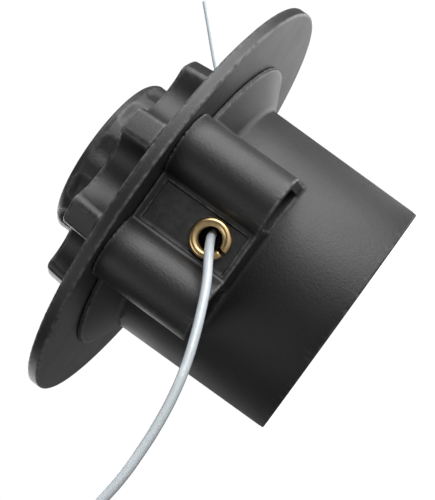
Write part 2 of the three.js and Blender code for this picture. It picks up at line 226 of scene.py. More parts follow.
def thread(x: Array, y: Array, z: Array, pitch: float, depth: float) -> Array:
    """Height of a screw thread's flank above its root at a point, in millimetres."""
    phase = z / pitch - np.arctan2(y, x) / (2 * math.pi)
    return depth * (1 - 2 * np.abs(phase - np.floor(phase) - 0.5))


# ------------------------------------------------------------------ meshing
@dataclass(frozen=True)
class Moulder:
    """Meshes a distance field as one closed surface of even quads.

    Attributes:
        step: Grid pitch in millimetres.
        keep: Share of the faces that stay after flat areas are thinned out.
        edge: Width over which an edge's curvature is measured, in millimetres.
        probe: Half the width over which a slope is measured, in millimetres.
        rounds: How often the points are moved towards the true surface.
        reach: Longest move in a round, in grid steps.
        flattest: Least squared slope that a move is divided by.
        blunt: Curvature below which an edge counts as flat, per millimetre.
    """

    step: float
    keep: float = 1.0
    edge: float = 0.5
    probe: float = 0.02
    rounds: int = 3
    reach: float = 0.6
    flattest: float = 0.25
    blunt: float = 0.15

    def mesh(self, name: str, shape: Field, low: Array, high: Array) -> bpy.types.Object:
        """Builds the piece.

        Args:
            name: The piece's name.
            shape: Its distance field, in millimetres.
            low: Lowest corner of its box, in millimetres.
            high: Highest corner of its box.

        Returns:
            The new object, in metres, with the point attributes "edge" and "nook".
        """
        points, quads = self._net(shape, np.array(low, float), np.array(high, float))
        points = self._settle(shape, points)
        made = new_object(name, points * MM, quads)
        if self.keep < 1:
            thin = made.modifiers.new("thin", "DECIMATE")
            thin.ratio = self.keep
            apply_modifiers(made)
            points = vertex_array(made.data) / MM
            points = self._settle(shape, points)
            made.data.vertices.foreach_set("co", (points * MM).ravel())
        self._dress(made.data, shape, points)
        return made

    def _net(self, shape: Field, low: Array, high: Array) -> tuple[Array, Array]:
        """Finds the cells that the surface crosses, and joins them up as quads.

        Args:
            shape: The distance field.
            low: Lowest corner of the piece's box.
            high: Highest corner.

        Returns:
            The points, in millimetres, and four point numbers for each quad.
        """
        low = low - 2 * self.step
        count = np.ceil((high - low) / self.step).astype(int) + 3
        axes = [low[i] + self.step * np.arange(count[i]) for i in range(3)]
        y, z = np.meshgrid(axes[1], axes[2], indexing="ij")
        values = np.stack([shape(np.full_like(y, x), y, z) for x in axes[0]]).astype(np.float32)
        solid = values < 0
        corners = np.zeros(tuple(count - 1), np.int8)
        for i in range(8):
            a, b, c = i & 1, (i >> 1) & 1, i >> 2
            corners += solid[a: a + count[0] - 1, b: b + count[1] - 1, c: c + count[2] - 1]
        crossed = (corners > 0) & (corners < 8)
        cells = np.argwhere(crossed)
        index = np.full(crossed.shape, -1, np.int32)
        index[crossed] = np.arange(len(cells))
        points = low + self.step * self._crossings(values, cells)
        return points, self._quads(solid, index)

    @staticmethod
    def _crossings(values: Array, cells: Array) -> Array:
        """Mean of the points where each cell's twelve edges meet the surface.

        Args:
            values: The field at every grid point.
            cells: Grid place of each crossed cell.

        Returns:
            One point for each cell, in grid steps.
        """
        total = np.zeros((len(cells), 3))
        hits = np.zeros(len(cells))
        for axis in range(3):
            along = np.eye(3, dtype=int)[axis]
            for i in range(4):
                offset = np.insert(np.array([i & 1, i >> 1]), axis, 0)
                start = cells + offset
                end = start + along
                a = values[tuple(start.T)]
                b = values[tuple(end.T)]
                crossing = (a < 0) != (b < 0)
                share = np.where(crossing, a / np.where(crossing, a - b, 1), 0)
                total += np.where(crossing[:, None], start + share[:, None] * along, 0)
                hits += crossing
        return total / hits[:, None]

    @staticmethod
    def _quads(solid: Array, index: Array) -> Array:
        """One quad for each grid edge that the surface crosses, facing out.

        Args:
            solid: Whether each grid point is inside.
            index: Number of each crossed cell's point.

        Returns:
            Four point numbers for each quad.
        """
        quads = []
        for axis in range(3):
            u = np.eye(3, dtype=int)[(axis + 1) % 3]
            v = np.eye(3, dtype=int)[(axis + 2) % 3]
            first = np.take(solid, range(solid.shape[axis] - 1), axis)
            second = np.take(solid, range(1, solid.shape[axis]), axis)
            edges = np.argwhere(first != second)
            outward = first[tuple(edges.T)]
            ring = [index[tuple((edges - offset).T)] for offset in (0 * u, u, u + v, v)]
            ring = np.stack(ring, 1)
            quads.append(np.where(outward[:, None], ring, ring[:, ::-1]))
        return np.concatenate(quads)

    def _slope(self, shape: Field, p: Array) -> Array:
        """Gradient of the field at each point.

        Args:
            shape: The distance field.
            p: The points.

        Returns:
            One gradient for each point.
        """
        steps = np.eye(3) * self.probe
        pairs = [shape(*(p + s).T) - shape(*(p - s).T) for s in steps]
        return np.stack(pairs, 1) / (2 * self.probe)

    def _settle(self, shape: Field, p: Array) -> Array:
        """Moves the points on to the true surface.

        Args:
            shape: The distance field.
            p: The points.

        Returns:
            The moved points.
        """
        furthest = self.reach * self.step
        for _ in range(self.rounds):
            slope = self._slope(shape, p)
            size = np.maximum((slope**2).sum(1), self.flattest)
            move = np.clip(shape(*p.T) / size, -furthest, furthest)
            p = p - move[:, None] * slope
        return p

    def _dress(self, mesh: bpy.types.Mesh, shape: Field, p: Array) -> None:
        """Sets exact normals, and how sharply the surface turns at each point.

        Args:
            mesh: The piece's mesh.
            shape: Its distance field.
            p: Its points, in millimetres.
        """
        slope = self._slope(shape, p)
        normals = slope / np.maximum(np.linalg.norm(slope, axis=1), 1e-6)[:, None]
        around = sum(
            shape(*(p + s).T) + shape(*(p - s).T) for s in np.eye(3) * self.edge
        )
        bend = (around - 6 * shape(*p.T)) / self.edge**2
        for name, value in (("edge", bend), ("nook", -bend)):
            layer = mesh.attributes.new(name, "FLOAT", "POINT")
            share = np.clip(value - self.blunt, 0, 1)
            layer.data.foreach_set("value", share.astype(np.float32))
        mesh.shade_smooth()
        mesh.normals_split_custom_set_from_vertices(normals.tolist())


def vertex_array(mesh: bpy.types.Mesh) -> Array:
    """The mesh's vertices as an (N, 3) array.

    Args:
        mesh: The mesh.

    Returns:
        Its vertices, one to a row.
    """
    flat = np.empty(len(mesh.vertices) * 3)
    mesh.vertices.foreach_get("co", flat)
    return flat.reshape(-1, 3)


def new_object(name: str, points: Array, faces: Array) -> bpy.types.Object:
    """Links a mesh object made from its points and faces.

    Args:
        name: The object's name.
        points: Its points, in metres.
        faces: Point numbers of each face.

    Returns:
        The new object.
    """
    mesh = bpy.data.meshes.new(name)
    mesh.from_pydata(points.tolist(), [], faces.tolist())
    mesh.update()
    made = bpy.data.objects.new(name, mesh)
    bpy.context.scene.collection.objects.link(made)
    return made


def apply_modifiers(made: bpy.types.Object) -> None:
    """Replaces an object's mesh with its modified one.

    Args:
        made: The object.
    """
    graph = bpy.context.evaluated_depsgraph_get()
    finished = bpy.data.meshes.new_from_object(made.evaluated_get(graph))
    made.modifiers.clear()
    made.data = finished


def span(node: str) -> tuple[Array, Array]:
    """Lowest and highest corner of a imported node, in millimetres."""
    low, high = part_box(node)
    return np.array(low) / MM, np.array(high) / MM


# ------------------------------------------------------------------ material effects
class Effects:
    """Node groups that several materials share, each built once."""

    _made: dict[str, bpy.types.NodeTree] = {}

    @classmethod
    def _start(cls, name: str, inputs: dict[str, float], outputs: list[str]) -> tuple:
        """Makes an empty group with its sockets.

        Args:
            name: The group's name.
            inputs: Name and default of each input value.
            outputs: Names of the output values.

        Returns:
            The tree, its input node and its output node.
        """
        tree = bpy.data.node_groups.new(name, "ShaderNodeTree")
        for label, default in inputs.items():
            socket = tree.interface.new_socket(label, in_out="INPUT", socket_type="NodeSocketFloat")
            socket.default_value = default
        for label in outputs:
            tree.interface.new_socket(label, in_out="OUTPUT", socket_type="NodeSocketFloat")
        cls._made[name] = tree
        return tree, tree.nodes.new("NodeGroupInput"), tree.nodes.new("NodeGroupOutput")

    @classmethod
    def grain(cls) -> bpy.types.NodeTree:
        """Spark-eroded mould texture: fine grain with a slow swell below it.

        Returns:
            The node group.
        """
        if "mould_grain" in cls._made:
            return cls._made["mould_grain"]
        inputs = {"Scale": 3000.0, "Swell": 120.0}
        tree, given, result = cls._start("mould_grain", inputs, ["Height", "Tone"])
        place = tree.nodes.new("ShaderNodeTexCoord")
        fine = tree.nodes.new("ShaderNodeTexNoise")
        fine.inputs["Detail"].default_value = 3
        fine.inputs["Roughness"].default_value = 0.6
        slow = tree.nodes.new("ShaderNodeTexNoise")
        slow.inputs["Detail"].default_value = 2
        both = tree.nodes.new("ShaderNodeMath")
        both.operation = "MULTIPLY_ADD"
        both.inputs[1].default_value = 0.35
        link(tree, place.outputs["Object"], fine.inputs["Vector"])
        link(tree, place.outputs["Object"], slow.inputs["Vector"])
        link(tree, given.outputs["Scale"], fine.inputs["Scale"])
        link(tree, given.outputs["Swell"], slow.inputs["Scale"])
        link(tree, slow.outputs["Fac"], both.inputs[0])
        link(tree, fine.outputs["Fac"], both.inputs[2])
        link(tree, both.outputs[0], result.inputs["Height"])
        link(tree, slow.outputs["Fac"], result.inputs["Tone"])
        return tree

    @classmethod
    def wear_and_highlight(cls) -> bpy.types.NodeTree:
        """Rubbed edges, which on the nylon are partly a painted edge highlight, broken up by noise,
        and dull dust held in the corners.

        Returns:
            The node group.
        """
        if "edge_wear_and_highlight" in cls._made:
            return cls._made["edge_wear_and_highlight"]
        inputs = {"Amount": 0.6, "Breakup": 700.0}
        tree, given, result = cls._start("edge_wear_and_highlight", inputs, ["Rub_and_Highlight", "Dust"])
        place = tree.nodes.new("ShaderNodeTexCoord")
        noise = tree.nodes.new("ShaderNodeTexNoise")
        noise.inputs["Detail"].default_value = 4
        link(tree, place.outputs["Object"], noise.inputs["Vector"])
        link(tree, given.outputs["Breakup"], noise.inputs["Scale"])
        patches = tree.nodes.new("ShaderNodeMapRange")
        patches.inputs["From Min"].default_value = 0.32
        patches.inputs["From Max"].default_value = 0.64
        link(tree, noise.outputs["Fac"], patches.inputs["Value"])
        # the "edge" mask lightens convex edges: rubbed wear, and on the nylon also a painted edge
        # highlight
        for name, target in (("edge", "Rub_and_Highlight"), ("nook", "Dust")):
            layer = tree.nodes.new("ShaderNodeAttribute")
            layer.attribute_name = name
            broken = tree.nodes.new("ShaderNodeMath")
            broken.operation = "MULTIPLY"
            scaled = tree.nodes.new("ShaderNodeMath")
            scaled.operation = "MULTIPLY"
            scaled.use_clamp = True
            link(tree, layer.outputs["Fac"], broken.inputs[0])
            link(tree, patches.outputs["Result"], broken.inputs[1])
            link(tree, broken.outputs[0], scaled.inputs[0])
            link(tree, given.outputs["Amount"], scaled.inputs[1])
            link(tree, scaled.outputs[0], result.inputs[target])
        return tree

    @classmethod
    def scuffs(cls) -> bpy.types.NodeTree:
        """Fine drawn scratches that run across the surface in one main direction.

        Returns:
            The node group.
        """
        if "scuffs" in cls._made:
            return cls._made["scuffs"]
        inputs = {"Scale": 260.0, "Stretch": 14.0}
        tree, given, result = cls._start("scuffs", inputs, ["Mask"])
        place = tree.nodes.new("ShaderNodeTexCoord")
        spread = tree.nodes.new("ShaderNodeCombineXYZ")
        spread.inputs[0].default_value = 1
        spread.inputs[1].default_value = 1
        stretched = tree.nodes.new("ShaderNodeVectorMath")
        stretched.operation = "MULTIPLY"
        noise = tree.nodes.new("ShaderNodeTexNoise")
        noise.inputs["Detail"].default_value = 5
        noise.inputs["Roughness"].default_value = 0.7
        sharp = tree.nodes.new("ShaderNodeMapRange")
        sharp.inputs["From Min"].default_value = 0.55
        sharp.inputs["From Max"].default_value = 0.75
        link(tree, given.outputs["Stretch"], spread.inputs[2])
        link(tree, place.outputs["Object"], stretched.inputs[0])
        link(tree, spread.outputs[0], stretched.inputs[1])
        link(tree, stretched.outputs[0], noise.inputs["Vector"])
        link(tree, given.outputs["Scale"], noise.inputs["Scale"])
        link(tree, noise.outputs["Fac"], sharp.inputs["Value"])
        link(tree, sharp.outputs["Result"], result.inputs["Mask"])
        return tree


def link(tree: bpy.types.NodeTree, out: bpy.types.NodeSocket, into: bpy.types.NodeSocket) -> None:
    """Joins two sockets."""
    tree.links.new(out, into)


class Palette:
    """Adds the common nodes to one material's tree."""

    def __init__(self, name: str) -> None:
        """Starts the material.

        Args:
            name: The material's name.
        """
        self.material = bpy.data.materials.new(name)
        self.material.use_nodes = True
        self.tree = self.material.node_tree
        self.shader = self.tree.nodes["Principled BSDF"]

    def effect(self, group: bpy.types.NodeTree, **values: float) -> bpy.types.Node:
        """Places a shared effect with its own values.

        Args:
            group: The effect's node group.
            **values: Its input values.

        Returns:
            The placed node.
        """
        node = self.tree.nodes.new("ShaderNodeGroup")
        node.node_tree = group
        for name, value in values.items():
            node.inputs[name].default_value = value
        return node

    def mix(self, mask: bpy.types.NodeSocket, low: object, high: tuple) -> bpy.types.NodeSocket:
        """Mixes from a colour, or another socket's colour, to a second colour by a mask.

        Args:
            mask: The mask's socket.
            low: A colour, or the socket that gives it.
            high: The colour where the mask is full.

        Returns:
            The mixed colour's socket.
        """
        node = self.tree.nodes.new("ShaderNodeMix")
        node.data_type = "RGBA"
        link(self.tree, mask, node.inputs["Factor"])
        if isinstance(low, tuple):
            node.inputs[6].default_value = (*low, 1)
        else:
            link(self.tree, low, node.inputs[6])
        node.inputs[7].default_value = (*high, 1)
        return node.outputs[2]

    def shift(self, start: object, mask: bpy.types.NodeSocket, by: float) -> bpy.types.NodeSocket:
        """Adds a share of a mask to a value, or to another socket's value.

        Args:
            start: The value, or the socket that gives it.
            mask: The mask's socket.
            by: The share that is added where the mask is full.

        Returns:
            The sum's socket.
        """
        node = self.tree.nodes.new("ShaderNodeMath")
        node.operation = "MULTIPLY_ADD"
        link(self.tree, mask, node.inputs[0])
        node.inputs[1].default_value = by
        if isinstance(start, float):
            node.inputs[2].default_value = start
        else:
            link(self.tree, start, node.inputs[2])
        return node.outputs[0]

    def bump(self, height: bpy.types.NodeSocket, distance: float, strength: float) -> None:
        """Drives the shader's normal from a height.

        Args:
            height: The height's socket.
            distance: The relief's depth, in metres.
            strength: How much of it shows.
        """
        node = self.tree.nodes.new("ShaderNodeBump")
        node.inputs["Distance"].default_value = distance
        node.inputs["Strength"].default_value = strength
        link(self.tree, height, node.inputs["Height"])
        link(self.tree, node.outputs[0], self.shader.inputs["Normal"])

    def feed(self, **sockets: bpy.types.NodeSocket) -> None:
        """Links sockets to the shader's inputs, with spaces written as underscores."""
        for name, socket in sockets.items():
            link(self.tree, socket, self.shader.inputs[name.replace("_", " ")])

    def set(self, **values: object) -> None:
        """Sets plain values on the shader, with spaces written as underscores."""
        for name, value in values.items():
            self.shader.inputs[name.replace("_", " ")].default_value = value


# ------------------------------------------------------------------ finishes
@dataclass(frozen=True)
class MouldedNylon:
    """Satin glass-filled nylon as it leaves a spark-eroded mould.

    Attributes:
        name: The material's name.
        base: Its colour.
        rubbed_and_highlight: Its colour on convex edges, partly rubbed wear and partly a painted
            edge highlight.
        dust: The colour of dust in corners.
        roughness: Mean roughness.
        wear_and_highlight: How far the edges are rubbed and lightened as a painted edge highlight.
    """

    name: str
    base: tuple[float, float, float] = (0.0085, 0.0085, 0.0092)
    # lighter colour on convex edges: partly rubbed wear, partly a painted edge highlight
    rubbed_and_highlight: tuple[float, float, float] = (0.13, 0.13, 0.134)
    dust: tuple[float, float, float] = (0.020, 0.019, 0.018)
    roughness: float = 0.46
    wear_and_highlight: float = 0.75

    def material(self) -> bpy.types.Material:
        """Builds the material.

        Returns:
            The material.
        """
        p = Palette(self.name)
        grain = p.effect(Effects.grain(), Scale=1500, Swell=90)
        wear_and_highlight = p.effect(Effects.wear_and_highlight(), Amount=self.wear_and_highlight, Breakup=650)
        scuffs = p.effect(Effects.scuffs(), Scale=180, Stretch=7)
        lighter = tuple(1.5 * c for c in self.base)
        colour = p.mix(grain.outputs["Tone"], self.base, lighter)
        colour = p.mix(wear_and_highlight.outputs["Dust"], colour, self.dust)
        # painted edge highlight, partly real rubbing: convex edges are mixed to a much lighter
        # colour
        colour = p.mix(wear_and_highlight.outputs["Rub_and_Highlight"], colour, self.rubbed_and_highlight)
        rough = p.shift(self.roughness - 0.05, grain.outputs["Tone"], 0.12)
        rough = p.shift(rough, scuffs.outputs["Mask"], 0.03)
        rough = p.shift(rough, wear_and_highlight.outputs["Rub_and_Highlight"], -0.10)
        p.feed(Base_Color=colour, Roughness=rough)
        p.set(IOR=1.53)
        p.bump(grain.outputs["Height"], 0.00016, 0.45)
        return p.material


@dataclass(frozen=True)
class BareMetal:
    """Turned or plated metal with drawn scuffs and a tarnished tone.

    Attributes:
        name: The material's name.
        bright: Its clean colour.
        dull: Its tarnished colour.
        roughness: Roughness of the clean metal.
        stretch: How far its scuffs are drawn out along Z.
    """

    name: str
    bright: tuple[float, float, float]
    dull: tuple[float, float, float]
    roughness: float
    stretch: float

    def material(self) -> bpy.types.Material:
        """Builds the material.

        Returns:
            The material.
        """
        p = Palette(self.name)
        grain = p.effect(Effects.grain(), Scale=5200, Swell=420)
        wear_and_highlight = p.effect(Effects.wear_and_highlight(), Amount=0.8, Breakup=900)
        scuffs = p.effect(Effects.scuffs(), Scale=520, Stretch=self.stretch)
        colour = p.mix(grain.outputs["Tone"], self.bright, self.dull)
        colour = p.mix(wear_and_highlight.outputs["Dust"], colour, tuple(0.5 * c for c in self.dull))
        colour = p.mix(wear_and_highlight.outputs["Rub_and_Highlight"], colour, self.bright)
        rough = p.shift(self.roughness, scuffs.outputs["Mask"], 0.16)
        rough = p.shift(rough, wear_and_highlight.outputs["Rub_and_Highlight"], -0.06)
        p.feed(Base_Color=colour, Roughness=rough)
        p.set(Metallic=1.0)
        p.bump(grain.outputs["Height"], 0.00004, 0.2)
        return p.material


@dataclass(frozen=True)
class ClearLine:
    """Milky extruded nylon line, bluish where light passes through it; towards its glancing edges
    the colour darkens to a deeper blue as painted shade.
    """

    name: str
    tint: tuple[float, float, float] = (0.60, 0.645, 0.665)
    deep: tuple[float, float, float] = (0.50, 0.55, 0.585)
    # colour at glancing angles: painted shade for light passing through the line
    rim: tuple[float, float, float] = (0.31, 0.37, 0.42)

    def material(self) -> bpy.types.Material:
        """Builds the material.

        Returns:
            The material.
        """
        p = Palette(self.name)
        grain = p.effect(Effects.grain(), Scale=260, Swell=70)
        scuffs = p.effect(Effects.scuffs(), Scale=110, Stretch=3)
        colour = p.mix(grain.outputs["Tone"], self.tint, self.deep)
        colour = p.mix(scuffs.outputs["Mask"], colour, (0.72, 0.75, 0.77))
        # painted shade: the colour darkens towards the rim colour where the surface turns away from
        # the eye
        turned = p.tree.nodes.new("ShaderNodeLayerWeight")
        turned.inputs["Blend"].default_value = 0.35
        colour = p.mix(turned.outputs["Facing"], colour, self.rim)
        rough = p.shift(0.22, scuffs.outputs["Mask"], 0.14)
        p.feed(Base_Color=colour, Roughness=rough)
        p.set(IOR=1.53, Coat_Weight=0.25)
        p.bump(grain.outputs["Height"], 0.00002, 0.05)
        return p.material


class Finishes:
    """The object's materials, each built once."""

    def __init__(self) -> None:
        """Builds one material for each slot."""
        self.by_slot = {
            Slot.NYLON: MouldedNylon("satin_nylon").material(),
            Slot.KNOB: MouldedNylon("scuffed_nylon", roughness=0.48, wear_and_highlight=0.35).material(),
            Slot.BRASS: BareMetal(
                "turned_brass", (0.74, 0.53, 0.27), (0.50, 0.34, 0.15), 0.32, 1.0
            ).material(),
            Slot.STEEL: BareMetal(
                "plated_steel", (0.66, 0.66, 0.67), (0.42, 0.41, 0.40), 0.26, 8.0
            ).material(),
            Slot.LINE: ClearLine("line_nylon").material(),
        }

    def dress(self, piece: bpy.types.Object, slot: Slot, body: str, *nodes: str) -> None:
        """Gives a piece its finish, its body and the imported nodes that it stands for.

        Args:
            piece: The finished piece.
            slot: Its material slot.
            body: The body that it rides on.
            *nodes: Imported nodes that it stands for.
        """
        piece.data.materials.clear()
        piece.data.materials.append(self.by_slot[slot])
        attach(piece, body)
        if nodes:
            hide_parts(*nodes)
        log.info("%s on %s", piece.name, body)


# ------------------------------------------------------------------ free line ends
@dataclass
class FreeLine:
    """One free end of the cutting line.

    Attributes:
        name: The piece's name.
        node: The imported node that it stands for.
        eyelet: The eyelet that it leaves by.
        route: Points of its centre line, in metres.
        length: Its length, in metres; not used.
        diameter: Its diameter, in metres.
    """

    name: str
    node: str
    eyelet: str
    route: list[tuple[float, float, float]]
    length: float
    diameter: float = 0.0024

    def build(self, finishes: Finishes) -> bpy.types.Object:
        """Args:
            finishes: The object's materials.

        Returns:
            The new curve.
        """
        curve = bpy.data.curves.new(self.name, "CURVE")
        curve.dimensions = "3D"
        curve.bevel_depth = self.diameter / 2
        curve.bevel_resolution = 6
        curve.resolution_u = 8
        curve.use_fill_caps = True
        spline = curve.splines.new("BEZIER")
        spline.bezier_points.add(len(self.route) - 1)
        for knot, place in zip(spline.bezier_points, self.route):
            knot.co = place
            knot.handle_left_type = "AUTO"
            knot.handle_right_type = "AUTO"
        piece = bpy.data.objects.new(self.name, curve)
        bpy.context.scene.collection.objects.link(piece)
        finishes.dress(piece, Slot.LINE, "housing", self.node)
        low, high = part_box(self.eyelet)
        return piece


# ------------------------------------------------------------------ housing
@dataclass
class Housing:
    """Skirt, cone and two line-exit blocks in one moulding, in millimetres."""

    skirt_top: float = 38.3
    taper: float = 0.8
    skirt_wall: float = 3.3
    web: tuple[float, float] = (18.0, 21.5)
    cone_rise: float = 6.2
    cone_wall: float = 3.2
    block_end: float = 28.4
    wing_radius: float = 9.0
    wing_offset: float = 15.4
    wing_back: float = 2.8
    wing_wall: float = 3.0
    floor_wall: float = 3.0
    pocket_half: float = 6.2
    pocket_wall: float = 3.0
    bar: tuple[float, float] = (33.0, 36.0)
    bar_out: float = 0.6
    eyelet_radius: float = 4.0
    hole_clear: float = 0.3
    hub_radius: float = 12.0
    hub_top: float = 50.0
    shaft_hole: float = 5.3
    nut_clear: float = 0.3
    lugs: int = 8
    lug_height: float = 2.0
    lug_half: float = 8.0
    lug_inner: float = 18.5
    lug_clear: float = 0.5
    block_core: float = 20.0
    pocket_core: float = 17.0
    edge: float = 0.45
    fillet: float = 1.3
    seam: float = 0.3
    seat: float = 0.3
    close: float = 0.25
    flare: float = 0.9
    frame: float = 0.3
    window: tuple[float, float, float] = (5.6, 30.0, 54.6)
    low: Array = field(init=False)
    high: Array = field(init=False)
    eyelet_z: float = field(init=False)

    def __post_init__(self) -> None:
        """Takes the overall sizes and the eyelets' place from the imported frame."""
        self.low, self.high = span("housing")
        eyelet_low, eyelet_high = span("eyelet_front")
        self.eyelet_z = (eyelet_low[2] + eyelet_high[2]) / 2

    @property
    def wing_v(self) -> float:
        """Distance of a wing's centre from the head's axis."""
        return self.high[1] - self.wing_radius

    @property
    def floor_v(self) -> float:
        """Distance of the floor between the wings from the head's axis."""
        return self.wing_v + self.wing_back

    @property
    def pocket_face(self) -> float:
        """Distance of the floor's inner face from the head's axis."""
        return self.floor_v - self.floor_wall

    def _body(self, r: Array, z: Array) -> Array:
        """Skirt and cone.

        Args:
            r: Distance from the head's axis, in millimetres.
            z: Up.

        Returns:
            Distance to the surface, negative inside.
        """
        top = self.high[2]
        start = top + self.seat - self.cone_rise
        skirt = cone(r, z, (self.skirt_top - self.taper, 0), (self.skirt_top, start))
        wide = cone(r, z, (self.skirt_top, start), (self.high[0], top - OVERLAP))
        wide = np.maximum(wide, r - self.high[0])
        return join(skirt, meet(wide, start - 2 * OVERLAP - z), fillet=1.0)

    def _block(self, x: Array, y: Array, z: Array) -> Array:
        """One line-exit block: two barrels, the floor between them and their flanks.

        Args:
            x: Across, in millimetres.
            y: Front to back.
            z: Up.

        Returns:
            Distance to the surface, negative inside.
        """
        u, half = self.wing_offset, self.wing_offset + self.wing_radius
        side = np.abs(x)
        barrel = post(side, y, u, -self.wing_v, self.wing_radius)
        floor = block(side, y, (-OVERLAP, -self.floor_v - self.frame), (u, -self.block_core))
        flank = block(side, y, (-OVERLAP, -self.wing_v), (half - self.seam / 2, -self.block_core))
        seam = post(side, y, half - self.seam / 2, -self.wing_v + self.seam, self.seam)
        plan = join(join(barrel, flank), floor, fillet=0.7)
        plan = join(plan, seam, fillet=0.1)
        made = meet(plan, self.block_end - z, self.edge)
        window = np.maximum(np.abs(x) - self.window[0], slab(z, *self.window[1:]))
        return cut(made, np.maximum(window, y + self.floor_v), rounding=0.1)

    def _hollows(self, x: Array, y: Array, z: Array, r: Array) -> Array:
        """The wings' hollows less the bars that the cover's hooks catch.

        Args:
            x: Across, in millimetres.
            y: Front to back.
            z: Up.
            r: Distance from the head's axis.

        Returns:
            Distance to the surface, negative inside.
        """
        side = np.abs(x) - self.wing_offset
        inner = self.wing_radius - self.wing_wall
        hollow = join(
            np.hypot(side, y + self.wing_v) - inner,
            block(side, y, (-inner, -self.wing_v), (inner, -self.block_core)),
        )
        hollow = meet(hollow, self.skirt_top - r, rounding=0.6)
        hollow = np.maximum(hollow, self.block_end - OVERLAP - z)
        face = self.wing_v + self.bar_out
        bar = np.maximum(y + face, slab(z, *self.bar))
        return cut(hollow, bar, rounding=0.4)

    def shape(self, x: Array, y: Array, z: Array) -> Array:
        """The housing's distance field.

        Args:
            x: Across, in millimetres.
            y: Front to back.
            z: Up.

        Returns:
            Distance to the surface, negative inside.
        """
        flip = np.where(y > 0, -1.0, 1.0)
        x, y = x * flip, y * flip
        r = np.hypot(x, y)
        top = self.high[2] + self.close
        made = join(self._body(r, z), self._block(x, y, z), self.fillet)
        made = join(made, top - z, self.flare)
        made = np.maximum(made, z - top)
        made = meet(made, -z, self.edge)
        made = cut(made, self._hollows(x, y, z, r), rounding=0.45)
        chamber = join(
            np.maximum(r - (self.skirt_top - self.skirt_wall), z - top - 2 * OVERLAP),
            cone(r, z, (self.skirt_top - self.skirt_wall, top - self.cone_rise),
                 (self.high[0] - self.cone_wall, top)),
        )
        made = cut(made, meet(chamber, self.web[1] - z, 0.6), rounding=0.3)
        cup_radius = self.skirt_top - self.taper - self.skirt_wall
        cup = meet(r - cup_radius, z - self.web[0], rounding=1.2)
        made = cut(made, cup, self.edge)
        pocket = block(x, y, (-self.pocket_half, -self.pocket_face),
                       (self.pocket_half, -self.pocket_core))
        pocket_low = self.block_end + self.pocket_wall
        pocket_high = top - self.cone_rise + self.floor_wall
        made = cut(made, meet(pocket, slab(z, pocket_low, pocket_high), 0.8), rounding=0.3)
        hole = np.hypot(x, z - self.eyelet_z) - self.eyelet_radius - self.hole_clear
        past = 3 * OVERLAP
        hole = np.maximum(hole, slab(y, -self.floor_v - past, -self.pocket_face + 2 * OVERLAP))
        made = cut(made, hole, rounding=0.25)
        return self._drive(made, x, y, z, r)

    def _drive(self, made: Array, x: Array, y: Array, z: Array, r: Array) -> Array:
        """Adds the hub and the index lugs, and cuts the shaft's way through them.

        Args:
            made: The housing's field so far.
            x: Across, in millimetres.
            y: Front to back.
            z: Up.
            r: Distance from the head's axis.

        Returns:
            Distance to the surface, negative inside.
        """
        hub = meet(r - self.hub_radius, slab(z, self.web[0], self.hub_top), rounding=0.5)
        made = join(made, hub, fillet=1.0)
        ring = (self.lug_inner, self.skirt_top - self.skirt_wall - self.lug_clear)
        lug = index_teeth(x, y, self.lugs, self.lug_half, ring)
        lug = meet(lug, slab(z, self.web[0] + OVERLAP, self.web[1] + self.lug_height), rounding=0.3)
        made = join(made, lug, fillet=0.3)
        nut_low, nut_high = span("arbor_nut")
        flats = nut_high[0] - nut_low[0] + 2 * self.nut_clear
        nut = np.maximum(
            hexagon(x, y, flats), slab(z, nut_low[2] - self.nut_clear, nut_high[2] + self.nut_clear)
        )
        return cut(made, join(nut, r - self.shaft_hole), rounding=0.25)

    def build(self, finishes: Finishes) -> None:
        """Builds and dresses the housing.

        Args:
            finishes: The object's materials.
        """
        moulder = Moulder(step=0.5, keep=0.34)
        piece = moulder.mesh("housing_shell", self.shape, self.low, self.high)
        finishes.dress(piece, Slot.NYLON, "housing", "housing")


